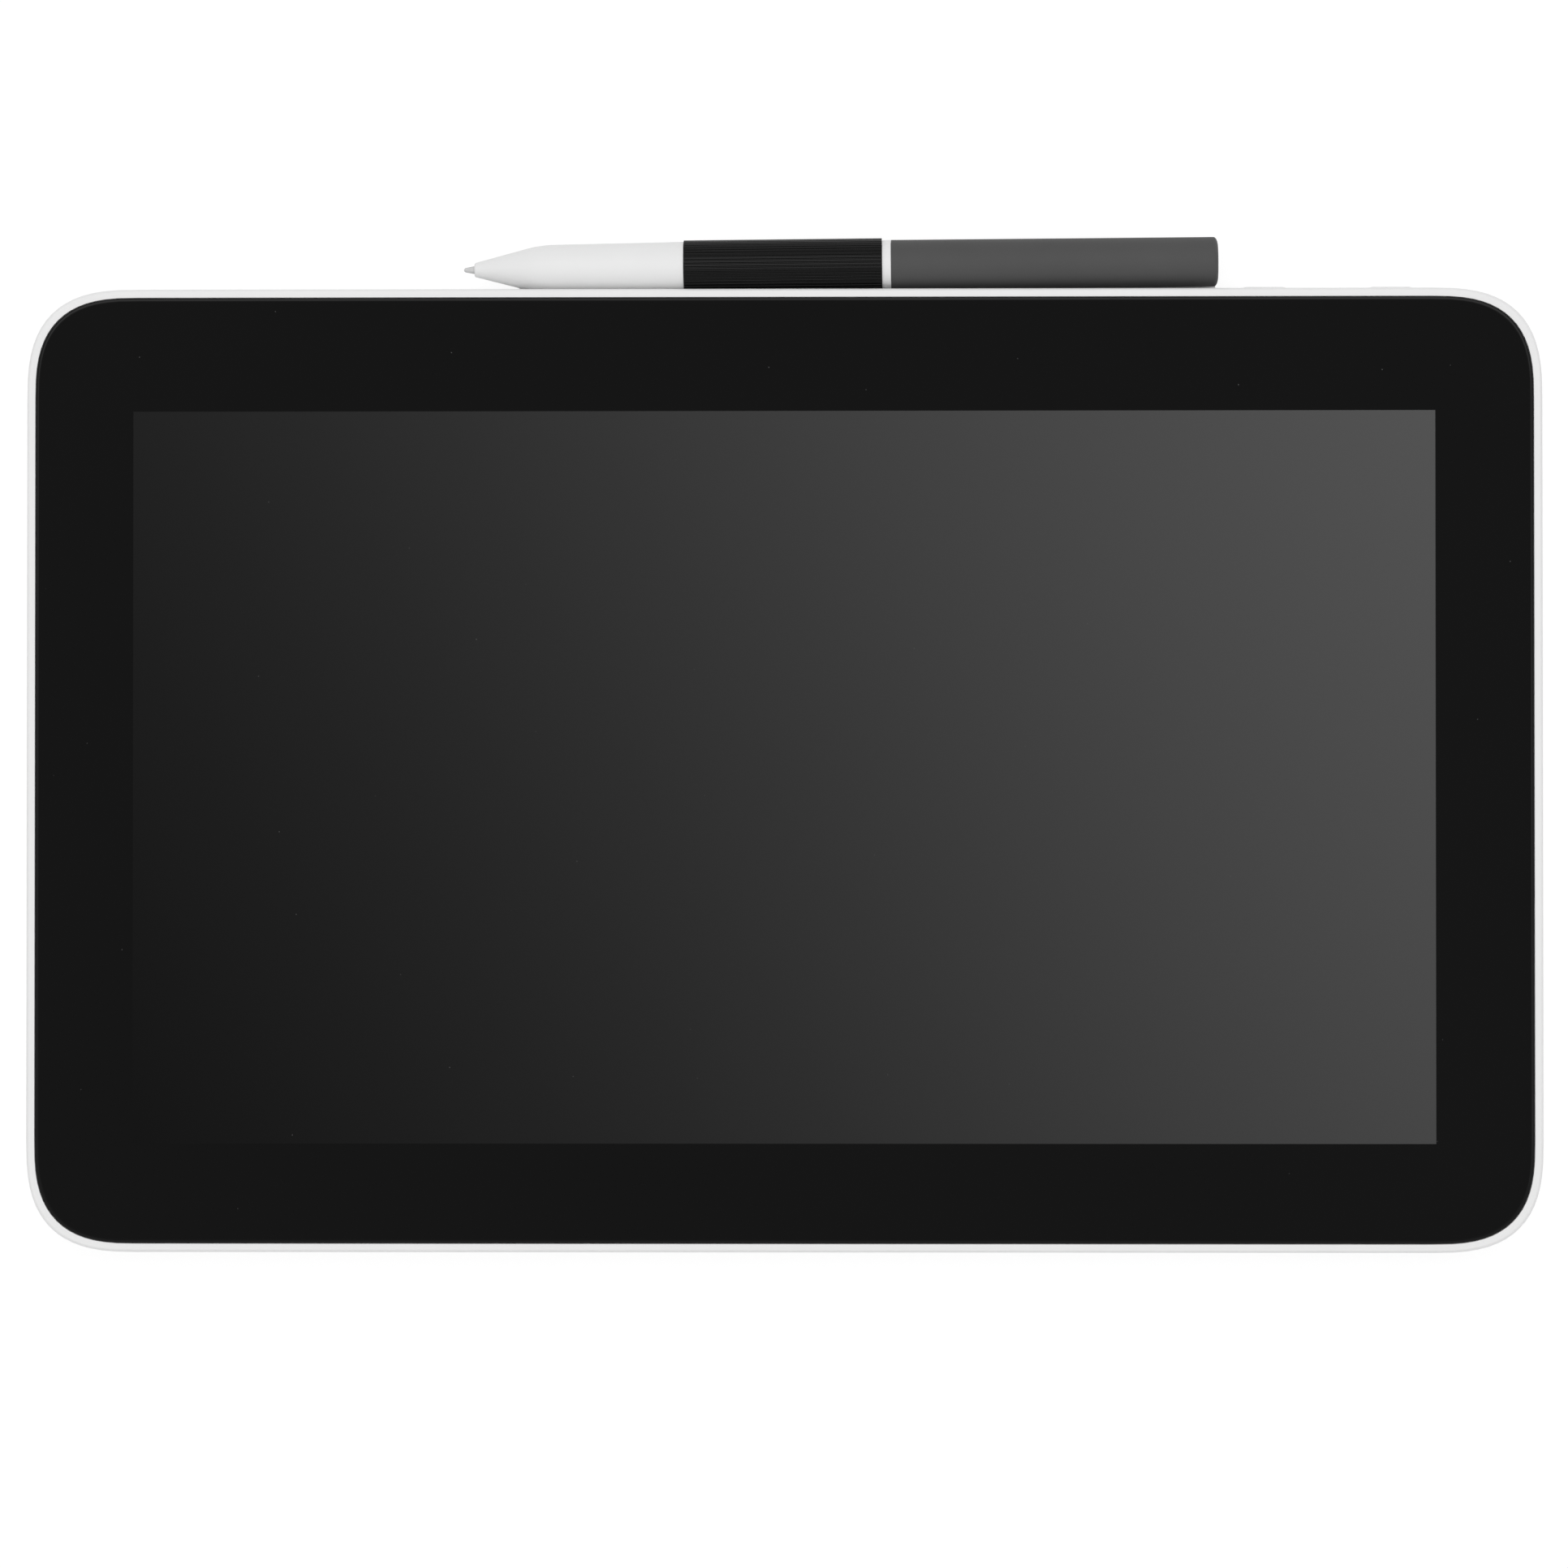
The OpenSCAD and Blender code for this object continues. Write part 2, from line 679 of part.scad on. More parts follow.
module port_tongues() {
    back_y = port_mouth_y + port_back - port_depth;
    block = [port_hollow.x - 2 * tongue_fit, port_hollow.y - 2 * tongue_fit];
    root = [tongue.x, tongue_root + 1, tongue.z + 0.6];
    color([0.1, 0.1, 0.1]) for (x = [port_left_x, port_right_x]) {
        edge_bar(x, back_y + tongue_root, port_z, block.x, block.y, tongue_root);
        translate([x, back_y, port_z - tongue.z / 2]) linear_extrude(tongue.z) tongue_plan();
        translate([x - root.x / 2, back_y, port_z - root.z / 2]) cube(root);
    }
}

module button_board() {
    color(board_green) difference() {
        board_plate(button_board);
        board_screw_holes();
    }
}

module tact_switches() {
    for (x = [power_x, menu_x]) {
        color(steel) translate([x - switch_body.x / 2, plunger_y - plunger_len - switch_body.y, z_board_top])
            cube(switch_body);
        color([0.1, 0.1, 0.1]) translate([x, plunger_y, button_z]) rotate([90, 0, 0])
            cylinder(r = 0.9, h = plunger_len + slack);
    }
}

module status_light() {
    foot = [2.4, 2.4];
    color([0.85, 0.9, 0.92]) {
        translate([light_x, edge_y, button_z]) rotate([90, 0, 0])
            cylinder(r = light_r, h = edge_y - board_edge_y + 3);
        translate([light_x - foot.x / 2, board_edge_y - 3, z_board_top])
            cube([foot.x, foot.y, button_z - z_board_top]);
    }
}

// Ribbon standing on its connector, from a layer of the screen down through the slots.
module ribbon(at, top) {
    z = z_board_top + connector_h;
    color(amber) translate([at.x, at.y, z]) cube([ribbon_w, ribbon_t, top - z]);
}

module panel_ribbon() ribbon(panel_ribbon_at, z_lcd + lcd_t / 2);
module sensor_ribbon() ribbon(sensor_ribbon_at, z_sensor);

module button_ribbon() {
    lap = [1.6, 0.6];
    strip_w = 3;
    color(amber) translate([main_board[2] - lap[0], button_board[1] + 0.3, z_board_top])
        cube([button_board[0] - main_board[2] + lap[0] + lap[1], strip_w, ribbon_t]);
}

module pen_magnets() {
    color(steel) for (x = magnet_x)
        translate([x - magnet.x / 2, backing_y - magnet.y, channel_z - magnet.z / 2]) cube(magnet);
}

// Push buttons in the far edge: a cap with sloped ends and a flange behind the wall.
module push_button(x) {
    cap = button_proud + shell_wall + button_play;
    half = button_len / 2;
    slope = [for (i = [0:6]) [button_ramp * i / 6 - half, button_proud * (1 - cos(30 * i)) / 2]];
    other_slope = [for (p = reversed(slope)) [-p.x, p.y]];
    back = [[half, -cap], [-half, -cap]];
    intersection() {
        edge_bar(x, edge_y + button_proud, button_z, button_len, button_h, cap + slack);
        translate([x, edge_y, button_z - button_h]) linear_extrude(2 * button_h)
            polygon(concat(slope, other_slope, back));
    }
    flange = [button_len + 2 * button_lip, button_h + 2 * button_lip];
    edge_bar(x, wall_y - button_play, button_z, flange.x, flange.y, button_flange_t);
}

module power_button() color(white) push_button(power_x);
module menu_button() color(white) push_button(menu_x);

// Pen: every piece is drawn along X from the tip and then laid in the channel.
module in_channel() translate([pen_tip_x, pen_tip_y, pen_z]) rotate([0, 0, pen_skew]) children();
module turned(points) rotate([0, 90, 0]) rotate_extrude($fn = 96) polygon(points);
module tube(from, to, r_out, r_in) turned([[r_in, from], [r_out, from], [r_out, to], [r_in, to]]);
module rod(from, to, r) turned([[0, from], [r, from], [r, to], [0, to]]);

// Round between the nose's cone and the barrel, as [radius, distance].
function nose_blend(step) =
    let (s0 = s_blend - blend_tangent * cos(nose_angle), r0 = r_blend - blend_tangent * sin(nose_angle))
    let (cs = s0 + blend_r * sin(nose_angle), cr = r0 - blend_r * cos(nose_angle))
    [for (a = [nose_angle:-step:barrel_angle]) [cr + blend_r * cos(a), cs - blend_r * sin(a)]];

module switch_opening() {
    translate([switch_at, 0, -front_r - 1]) linear_extrude(front_r + 1 - core_r + 0.5)
        stadium(switch_len + 2 * switch_gap, switch_w + 2 * switch_gap);
    translate([switch_at, 0, switch_pin_z]) rotate([90, 0, 0])
        cylinder(r = switch_pin_r + 0.02, h = switch_pin_len + 0.04, center = true, $fn = 32);
}

module pen_front() {
    nib_bore = nib_r + 0.15;
    edge_r = nose_r + cone_slope * nose_edge;
    color(white) in_channel() difference() {
        turned(concat(
            [[nib_bore, s_nose], [nose_r - nose_edge, s_nose], [edge_r, s_nose + nose_edge]],
            nose_blend(1),
            [[front_r, s_grip], [spigot_r, s_grip], [spigot_r, spigot_end]],
            [[bore_r, spigot_end], [bore_r, core_start - 1.5], [nib_bore, s_nose + 6]]
        ));
        switch_opening();
    }
}

module pen_grip() {
    gap = 0.05;
    rib_r = PI * grip_r / grip_ribs * 0.55;
    color(dark_rubber) in_channel() translate([s_grip + gap, 0, 0]) rotate([0, 90, 0])
        linear_extrude(grip_len - 2 * gap) difference() {
            circle(grip_r, $fn = 96);
            circle(spigot_r + gap, $fn = 96);
            for (i = [0:grip_ribs - 1]) rotate(360 * (i + 0.5) / grip_ribs)
                translate([grip_r + rib_r - grip_groove, 0]) circle(rib_r, $fn = 24);
        }
}

module pen_collar() color(white) in_channel() tube(s_collar, s_tail, collar_r, spigot_r + 0.05);

module pen_tail() {
    gap = 0.05;
    dome = [
        for (a = [0:15:90])
            [tail_end_r - dome_reach[0] * (1 - cos(a)), s_end - dome_reach[1] * (1 - sin(a))]
    ];
    color([0.33, 0.33, 0.33]) in_channel() turned(concat(
        [[spigot_r + gap, s_tail + gap], [tail_front_r, s_tail + gap]],
        dome,
        [[0, s_end], [0, s_end - tail_end_t], [tail_in_r, s_end - tail_end_t - tail_cone]],
        [[tail_in_r, spigot_end + 1], [spigot_r + gap, spigot_end + 0.3]]
    ));
}

module pen_core() {
    half = switch_len / 2 + 1;
    color([0.2, 0.2, 0.22]) in_channel() difference() {
        tube(core_start, core_end, core_r, core_in_r);
        translate([switch_at - half, -core_r, -core_r - 1])
            cube([2 * half, 2 * core_r, core_r + 1 - core_flat]);
    }
}

module pen_coil() color([0.55, 0.3, 0.12]) in_channel() tube(coil[0], coil[1], core_in_r - 0.1, nib_r + 0.2);
module pressure_sensor() color(steel) in_channel() rod(sensor[0], sensor[1], core_in_r - 0.1);

module pen_board() {
    w = 2 * core_in_r - 0.4;
    color(board_green) in_channel() translate([pen_board_s[0], -w / 2, -0.4])
        cube([pen_board_s[1] - pen_board_s[0], w, 0.8]);
}

module switch_strip() {
    strip_w = 3;
    strip_t = 0.2;
    dome_t = 0.3;
    color(amber) in_channel() translate([switch_at, 0, -core_flat]) {
        translate([-switch_len / 2, -strip_w / 2, -strip_t]) cube([switch_len, strip_w, strip_t]);
        for (s = [-dome_from_mid, dome_from_mid])
            translate([s, 0, -strip_t - dome_t]) cylinder(r = 1.2, h = dome_t + slack);
    }
}

module switch_pin() {
    color(steel) in_channel() translate([switch_at, 0, switch_pin_z]) rotate([90, 0, 0])
        cylinder(r = switch_pin_r, h = switch_pin_len, center = true, $fn = 32);
}

module pen_keeper() color(steel) in_channel() rod(keeper[0], keeper[1], tail_in_r - 0.25);

// Nib and its holder, which slide together against the pressure sensor.
module pen_nib() {
    tip_r = 0.47;
    tip = [for (a = [0:10:80]) [tip_r * sin(a), tip_r * (1 - cos(a))]];
    color([0.62, 0.62, 0.62]) in_channel() turned(concat(
        tip,
        [[nib_r, s_nose], [nib_r, nib_end], [0, nib_end]]
    ));
}

module nib_holder() {
    color([0.15, 0.15, 0.15]) in_channel() turned([
        [nib_r + 0.02, holder[0]], [holder_r, holder[0]], [holder_r, holder[1]],
        [0, holder[1]], [0, nib_end + 0.02], [nib_r + 0.02, nib_end + 0.02]
    ]);
}

// Side switch: a rocker on a pin, crowned along the pen and rounded to the barrel.
module side_switch() {
    color(white) in_channel() difference() {
        intersection() {
            translate([switch_at, 0, -switch_out - 1]) linear_extrude(switch_out + 1 - switch_in)
                stadium(switch_len, switch_w);
            rod(switch_at - switch_len, switch_at + switch_len, switch_out);
            translate([switch_at, 0, switch_crown_r - switch_out]) rotate([90, 0, 0])
                cylinder(r = switch_crown_r, h = 4 * switch_w, center = true, $fn = 256);
        }
        translate([switch_at, 0, switch_pin_z]) rotate([90, 0, 0])
            cylinder(r = switch_pin_r + 0.05, h = 2 * switch_w, center = true, $fn = 32);
    }
}

// The origin is on the desk, in the middle of the case and its lying pen together.
module place() translate([0, -pen_overhang / 2, 0]) children();

place() rear_shell();
place() rubber_feet();
place() case_screws();
place() cover_glass();
place() border_mask();
place() bonding_film();
place() glass_tape();
place() lcd_cell();
place() light_guide();
place() led_strip();
place() reflector_sheet();
place() sensor_board();
place() shield_plate();
place() chassis_pan();
place() main_board();
place() board_chips();
place() board_screws();
place() usb_port_left();
place() usb_port_right();
place() port_tongues();
place() button_board();
place() tact_switches();
place() status_light();
place() panel_ribbon();
place() sensor_ribbon();
place() button_ribbon();
place() pen_magnets();
place() power_button();
place() menu_button();
place() pen_front();
place() pen_grip();
place() pen_collar();
place() pen_tail();
place() pen_core();
place() pen_coil();
place() pressure_sensor();
place() pen_board();
place() switch_strip();
place() switch_pin();
place() pen_keeper();
place() pen_nib();
place() nib_holder();
place() side_switch();
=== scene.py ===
"""Looks for the graphics tablet with screen: materials, contacts, buttons, floor, light and camera."""
import json
import math

import bmesh
import bpy
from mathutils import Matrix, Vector


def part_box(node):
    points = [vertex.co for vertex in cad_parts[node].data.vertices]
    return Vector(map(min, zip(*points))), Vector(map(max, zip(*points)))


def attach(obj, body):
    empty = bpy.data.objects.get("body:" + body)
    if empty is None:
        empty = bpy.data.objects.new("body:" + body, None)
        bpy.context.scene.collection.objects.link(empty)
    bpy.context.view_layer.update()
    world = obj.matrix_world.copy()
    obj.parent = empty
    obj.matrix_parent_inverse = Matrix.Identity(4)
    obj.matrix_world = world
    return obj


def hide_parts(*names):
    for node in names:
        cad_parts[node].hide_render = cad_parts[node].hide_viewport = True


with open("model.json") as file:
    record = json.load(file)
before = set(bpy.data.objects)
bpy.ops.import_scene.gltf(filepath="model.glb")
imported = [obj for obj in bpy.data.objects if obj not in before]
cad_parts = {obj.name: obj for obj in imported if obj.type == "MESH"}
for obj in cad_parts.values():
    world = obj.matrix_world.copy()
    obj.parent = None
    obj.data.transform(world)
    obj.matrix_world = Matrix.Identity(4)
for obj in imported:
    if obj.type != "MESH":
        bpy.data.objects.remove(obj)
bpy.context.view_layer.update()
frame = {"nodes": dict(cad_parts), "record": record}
nodes = frame["nodes"]
scene = bpy.context.scene
scene.view_settings.view_transform = "Standard"

MM = 0.001


def linear(level):
    """Linear light for a display level from 0 to 255."""
    s = level / 255
    return s / 12.92 if s <= 0.04045 else ((s + 0.055) / 1.055) ** 2.4


def grey(value):
    return (value, value, value, 1)


def fill_ramp(node, stops):
    """Give a colour ramp its (place, colour) pairs."""
    elements = node.color_ramp.elements
    while len(elements) < len(stops):
        elements.new(1.0)
    for element, (place, colour) in zip(elements, stops):
        element.position = place
        element.color = colour


class Surface:
    """A node material with one Principled shader and patterns in the object's own space, in metres."""

    def __init__(self, name, colour, roughness, metallic=0.0, **sockets):
        self.material = bpy.data.materials.new(name)
        self.material.use_nodes = True
        self.tree = self.material.node_tree
        self.shader = self.tree.nodes["Principled BSDF"]
        self.shader.inputs["Base Color"].default_value = (*colour[:3], 1)
        self.shader.inputs["Roughness"].default_value = roughness
        self.shader.inputs["Metallic"].default_value = metallic
        for socket, value in sockets.items():
            self.shader.inputs[socket.replace("_", " ")].default_value = value
        self.colour = colour
        self.space = self.add("ShaderNodeTexCoord").outputs["Object"]

    def add(self, kind, inputs=None, **settings):
        node = self.tree.nodes.new(kind)
        for key, value in settings.items():
            setattr(node, key, value)
        for key, value in (inputs or {}).items():
            if isinstance(value, bpy.types.NodeSocket):
                self.tree.links.new(value, node.inputs[key])
            else:
                node.inputs[key].default_value = value
        return node

    def axes(self):
        """The object's X, Y and Z as separate values."""
        return self.add("ShaderNodeSeparateXYZ", {"Vector": self.space}).outputs

    def stretched(self, scale):
        """The object's space with each axis scaled."""
        mapping = self.add("ShaderNodeMapping", {"Vector": self.space, "Scale": scale})
        return mapping.outputs["Vector"]

    def noise(self, size, detail=2.0, space=None):
        """Noise with features of about that size in millimetres."""
        inputs = {"Vector": space or self.space, "Scale": 1 / (size * MM), "Detail": detail}
        return self.add("ShaderNodeTexNoise", inputs).outputs["Fac"]

    def waves(self, size):
        """Bands that follow each other along X, with a scale of that size in millimetres."""
        inputs = {"Vector": self.space, "Scale": 1 / (size * MM)}
        return self.add("ShaderNodeTexWave", inputs, bands_direction="X").outputs["Fac"]

    def math(self, operation, a, b=0.0):
        return self.add("ShaderNodeMath", {0: a, 1: b}, operation=operation).outputs[0]

    def spread(self, value, low, high, start=0.3, stop=0.7):
        """The value's range from start to stop laid over low to high."""
        inputs = {"Value": value, "From Min": start, "From Max": stop, "To Min": low, "To Max": high}
        return self.add("ShaderNodeMapRange", inputs).outputs["Result"]

    def ramp(self, value, stops):
        """Colours along a value, as (place, colour) pairs."""
        node = self.add("ShaderNodeValToRGB", {"Fac": value})
        fill_ramp(node, stops)
        return node.outputs["Color"]

    def mix(self, factor, a, b):
        node = self.add("ShaderNodeMix", data_type="RGBA")
        for socket, value in (("Factor_Float", factor), ("A_Color", a), ("B_Color", b)):
            target = next(s for s in node.inputs if s.identifier == socket)
            if isinstance(value, bpy.types.NodeSocket):
                self.tree.links.new(value, target)
            else:
                target.default_value = value
        return next(s for s in node.outputs if s.identifier == "Result_Color")

    def set(self, socket, value):
        self.tree.links.new(value, self.shader.inputs[socket])

    def mottle(self, value, share):
        """Base colour that varies by a share either way."""
        low = (*(c * (1 - share) for c in self.colour[:3]), 1)
        high = (*(min(1, c * (1 + share)) for c in self.colour[:3]), 1)
        self.set("Base Color", self.ramp(value, [(0.3, low), (0.7, high)]))

    def bump(self, height, depth):
        """Relief of a height pattern, its full depth in millimetres."""
        inputs = {"Height": height, "Distance": depth * MM, "Strength": 1.0}
        self.set("Normal", self.add("ShaderNodeBump", inputs).outputs["Normal"])


def moulded(name, value, roughness, grain=0.35, depth=0.012, share=0.012, **sockets):
    """Moulded plastic or rubber: an even grey, a fine texture and slightly uneven gloss."""
    s = Surface(name, grey(value), roughness, **sockets)
    fine = s.noise(grain, detail=3)
    s.mottle(s.noise(9, detail=4), share)
    s.set("Roughness", s.spread(fine, roughness - 0.05, roughness + 0.05))
    s.bump(fine, depth)
    return s.material


def metal(name, colour, roughness, along=(1, 1, 1)):
    """Plated or pressed metal with drawn streaks."""
    s = Surface(name, colour, roughness, metallic=1.0)
    streak = s.noise(0.4, detail=3, space=s.stretched(along))
    s.mottle(streak, share=0.06)
    s.set("Roughness", s.spread(streak, roughness - 0.07, roughness + 0.1))
    s.bump(streak, depth=0.004)
    return s.material


def gilt(name):
    """Gold plating with fine wipe marks along each contact."""
    s = Surface(name, (0.83, 0.6, 0.26), roughness=0.25, metallic=1.0)
    wipe = s.noise(0.3, detail=3, space=s.stretched((1, 0.1, 1)))
    s.mottle(wipe, share=0.12)
    s.set("Roughness", s.spread(wipe, 0.2, 0.36))
    return s.material


def circuit_board(name):
    """Solder mask with copper tracks that show through it, and bare pads."""
    mask, track, bare = (0.012, 0.085, 0.04, 1), (0.03, 0.17, 0.07, 1), (0.62, 0.5, 0.28, 1)
    s = Surface(name, mask, roughness=0.35)
    tracks = s.add("ShaderNodeTexBrick", {
        "Vector": s.space, "Scale": 1 / (4 * MM), "Mortar Size": 0.035, "Mortar Smooth": 0.2,
        "Brick Width": 0.7, "Row Height": 0.3}).outputs["Fac"]
    pads = s.add("ShaderNodeTexVoronoi", {"Vector": s.space, "Scale": 1 / (5 * MM)})
    pad = s.math("LESS_THAN", pads.outputs["Distance"], 0.16)
    s.set("Base Color", s.mix(pad, s.mix(tracks, mask, track), bare))
    s.set("Metallic", pad)
    s.bump(tracks, depth=0.03)
    return s.material


def ribbon_film(name):
    """Amber film with copper conductors along it."""
    film, conductor = (0.55, 0.27, 0.05, 1), (0.36, 0.13, 0.03, 1)
    s = Surface(name, film, roughness=0.3)
    bands = s.waves(5)
    s.set("Base Color", s.ramp(bands, [(0.35, film), (0.6, conductor)]))
    s.bump(bands, depth=0.02)
    return s.material


def wound_copper(name):
    """Turns of lacquered wire round the pen's axis."""
    s = Surface(name, (0.66, 0.28, 0.11), roughness=0.3, metallic=1.0)
    turns = s.waves(1.6)
    # The colour is darker in the grooves between turns and lighter on their crests: painted shade and
    # painted highlight.
    s.mottle(turns, share=0.4)
    s.bump(turns, depth=0.12)
    return s.material


def clear_plastic(name, colour, roughness):
    """Polished clear plastic with faint flow lines."""
    s = Surface(name, colour, roughness, Transmission_Weight=0.85, IOR=1.49)
    flow = s.noise(6, detail=3)
    s.mottle(flow, share=0.03)
    s.set("Roughness", s.spread(flow, roughness, roughness + 0.08))
    return s.material


def lamp_strip(name):
    """White strip with a row of small yellow lamps."""
    white, lamp = (0.75, 0.74, 0.7, 1), (0.8, 0.62, 0.1, 1)
    s = Surface(name, white, roughness=0.4)
    row = s.waves(14)
    s.set("Base Color", s.ramp(row, [(0.55, white), (0.6, lamp)]))
    s.bump(row, depth=0.05)
    return s.material


# Screen: a dark panel, with a painted reflection that lightens it towards the far right corner. The first
# two are display levels.
# SCREEN_EASE bends the slope at both ends, and SCREEN_ACROSS is the share of it that runs left to right.
# DOT_PITCH is in millimetres.
SCREEN_DARK = 22.5
SCREEN_LIGHT = 84.5
SCREEN_EASE = 0.035
SCREEN_ACROSS = 0.76
SCREEN_STOPS = 13
DOT_PITCH = 0.134

# Cover glass: BORDER_LEVEL is the print's display level, and SHEEN the linear light that the surface adds.
# The shine grows from the flat to the rounded edge over EDGE_DROP.
BORDER_LEVEL = 23
SHEEN = 0.0066
GLASS_SHINE = 0.03
EDGE_SHINE = 0.15
EDGE_DROP = 0.03 * MM

# Dust on the glass: distance and size in millimetres, and its colour
DUST_APART = 30
DUST_SIZE = 0.2
DUST_GREY = 0.09


def painted_reflection_stops():
    """The screen's colours along the slope of its painted reflection, from the darkest corner to the
    lightest.
    """
    stops = []
    for i in range(SCREEN_STOPS):
        f = i / (SCREEN_STOPS - 1)
        eased = f - SCREEN_EASE * math.sin(2 * math.pi * f)
        level = SCREEN_DARK + (SCREEN_LIGHT - SCREEN_DARK) * eased
        stops.append((f, grey(linear(level) - SHEEN)))
    return stops


def window_and_painted_reflection(s):
    """Colour of the dark panel with its painted reflection, lighter towards the far right corner, and 1
    inside the window in the print.
    """
    low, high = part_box("bonding_film")
    axes = s.axes()
    across = s.spread(axes["X"], 0, SCREEN_ACROSS, low.x, high.x)
    up = s.spread(axes["Y"], 0, 1 - SCREEN_ACROSS, low.y, high.y)
    # Painted reflection: the colour lightens across and up the window towards the far right corner.
    colour = s.ramp(s.math("ADD", across, up), painted_reflection_stops())
    inside = []
    for axis in "XY":
        middle, half = (getattr(v, axis.lower()) for v in ((low + high) / 2, (high - low) / 2))
        away = s.math("ABSOLUTE", s.math("SUBTRACT", axes[axis], middle))
        inside.append(s.math("LESS_THAN", away, half))
    return colour, s.math("MULTIPLY", *inside)


def screen_glass(name):
    """Etched cover glass over black print, with the dark panel and its painted reflection in its window,
    smudges and a little dust.
    """
    border = linear(BORDER_LEVEL) - SHEEN
    s = Surface(name, grey(border), roughness=0.07, IOR=1.5)
    smudge = s.noise(45, detail=4)
    printed = s.ramp(smudge, [(0.35, grey(border)), (0.75, grey(border * 1.15))])
    colour, window = window_and_painted_reflection(s)
    shown = s.mix(window, printed, colour)
    dust = s.add(
        "ShaderNodeTexVoronoi", {"Vector": s.space, "Scale": 1 / (DUST_APART * MM)}, voronoi_dimensions="2D")
    speck = s.math("LESS_THAN", dust.outputs["Distance"], DUST_SIZE / 2 / DUST_APART)
    chance = s.add("ShaderNodeSeparateColor", {"Color": dust.outputs["Color"]}).outputs["Red"]
    s.set("Base Color", s.mix(s.math("MULTIPLY", speck, chance), shown, grey(DUST_GREY)))
    s.set("Roughness", s.spread(smudge, 0.05, 0.09))
    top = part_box("cover_glass")[1].z
    shine = s.spread(s.axes()["Z"], EDGE_SHINE, GLASS_SHINE, top - EDGE_DROP, top - EDGE_DROP / 10)
    s.set("Specular IOR Level", shine)
    return s.material


def dark_screen(name):
    """Liquid crystal cell and its film: the same dark panel and painted reflection, with the fine grid of
    its dots.
    """
    surround = grey(0.012)
    s = Surface(name, surround, roughness=0.3)
    colour, window = window_and_painted_reflection(s)
    dots = s.add("ShaderNodeTexBrick", {
        "Vector": s.space, "Scale": 1 / (2 * DOT_PITCH * MM), "Mortar Size": 0.05,
        "Brick Width": 0.5, "Row Height": 0.5})
    s.set("Base Color", s.mix(window, surround, colour))
    s.bump(dots.outputs["Fac"], depth=0.004)
    return s.material


WHITE = linear(233)
MATERIALS = {
    "white_case": moulded("white_case", WHITE, 0.5, share=0.008),
    "foot_rubber": moulded("foot_rubber", 0.03, 0.75, grain=0.5, depth=0.03, share=0.2),
    "steel": metal("steel", (0.56, 0.57, 0.58), 0.32, along=(0.15, 1, 1)),
    "cover_glass": screen_glass("cover_glass"),
    "black_print": moulded("black_print", 0.006, 0.4, share=0.15),
    "clear_film": dark_screen("clear_film"),
    "black_tape": moulded("black_tape", 0.015, 0.6, grain=0.8, depth=0.03, share=0.2),
    "dark_screen": dark_screen("dark_screen"),
    "clear_acrylic": clear_plastic("clear_acrylic", (0.85, 0.88, 0.9), 0.08),
    "lamp_strip": lamp_strip("lamp_strip"),
    "silver_film": metal("silver_film", (0.85, 0.85, 0.86), 0.12),
    "circuit_board": circuit_board("circuit_board"),
    "light_alloy": metal("light_alloy", (0.5, 0.51, 0.52), 0.42),
    "chip_black": moulded("chip_black", 0.02, 0.5, grain=0.2, share=0.1),
    "port_steel": metal("port_steel", (0.6, 0.6, 0.61), 0.28, along=(1, 0.2, 1)),
    "switch_steel": metal("switch_steel", (0.58, 0.58, 0.58), 0.3),
    "light_pipe": clear_plastic("light_pipe", (0.8, 0.84, 0.86), 0.12),
    "amber_ribbon": ribbon_film("amber_ribbon"),
    "magnet": metal("magnet", (0.66, 0.66, 0.67), 0.2),
    "pen_white": moulded("pen_white", WHITE, 0.5, grain=0.25, share=0.008),
    "grip_rubber": moulded(
        "grip_rubber", 0.003, 0.24, grain=0.3, depth=0.004, share=0.15, Specular_IOR_Level=0.13),
    "pen_grey": moulded("pen_grey", linear(77), 0.6, grain=0.25, share=0.03, Specular_IOR_Level=0.18),
    "carrier_black": moulded("carrier_black", 0.02, 0.5, share=0.1),
    "copper": wound_copper("copper"),
    "nib_grey": moulded("nib_grey", linear(201), 0.4, grain=0.2, share=0.02),
}
for part in frame["record"]["subparts"]:
    mesh = nodes[part["node"]].data
    mesh.materials.clear()
    mesh.materials.append(MATERIALS[part["material_slot"]])


# Case and glass: the lofted corners get smooth shading, with true edges kept
CASE_SHARP = math.radians(20)
WELD_DISTANCE = 1e-6


def smoothing_group():
    """Nodes that weld the facets, shade them smooth and keep the edges above the sharp angle."""
    group = bpy.data.node_groups.new("smooth_corners", "GeometryNodeTree")
    group.interface.new_socket("Geometry", in_out="INPUT", socket_type="NodeSocketGeometry")
    group.interface.new_socket("Geometry", in_out="OUTPUT", socket_type="NodeSocketGeometry")
    add, link = group.nodes.new, group.links.new
    start, end = add("NodeGroupInput"), add("NodeGroupOutput")
    bare = add("GeometryNodeRemoveAttribute")
    bare.inputs["Name"].default_value = "custom_normal"
    weld = add("GeometryNodeMergeByDistance")
    weld.inputs["Distance"].default_value = WELD_DISTANCE
    angle = add("GeometryNodeInputMeshEdgeAngle")
    sharp = add("ShaderNodeMath")
    sharp.operation = "GREATER_THAN"
    sharp.inputs[1].default_value = CASE_SHARP
    faces, edges = add("GeometryNodeSetShadeSmooth"), add("GeometryNodeSetShadeSmooth")
    faces.domain, edges.domain = "FACE", "EDGE"
    faces.inputs["Shade Smooth"].default_value = True
    edges.inputs["Shade Smooth"].default_value = False
    link(start.outputs[0], bare.inputs["Geometry"])
    link(bare.outputs["Geometry"], weld.inputs["Geometry"])
    link(weld.outputs["Geometry"], faces.inputs["Geometry"])
    link(faces.outputs["Geometry"], edges.inputs["Geometry"])
    link(angle.outputs["Unsigned Angle"], sharp.inputs[0])
    link(sharp.outputs[0], edges.inputs["Selection"])
    link(edges.outputs["Geometry"], end.inputs[0])
    return group


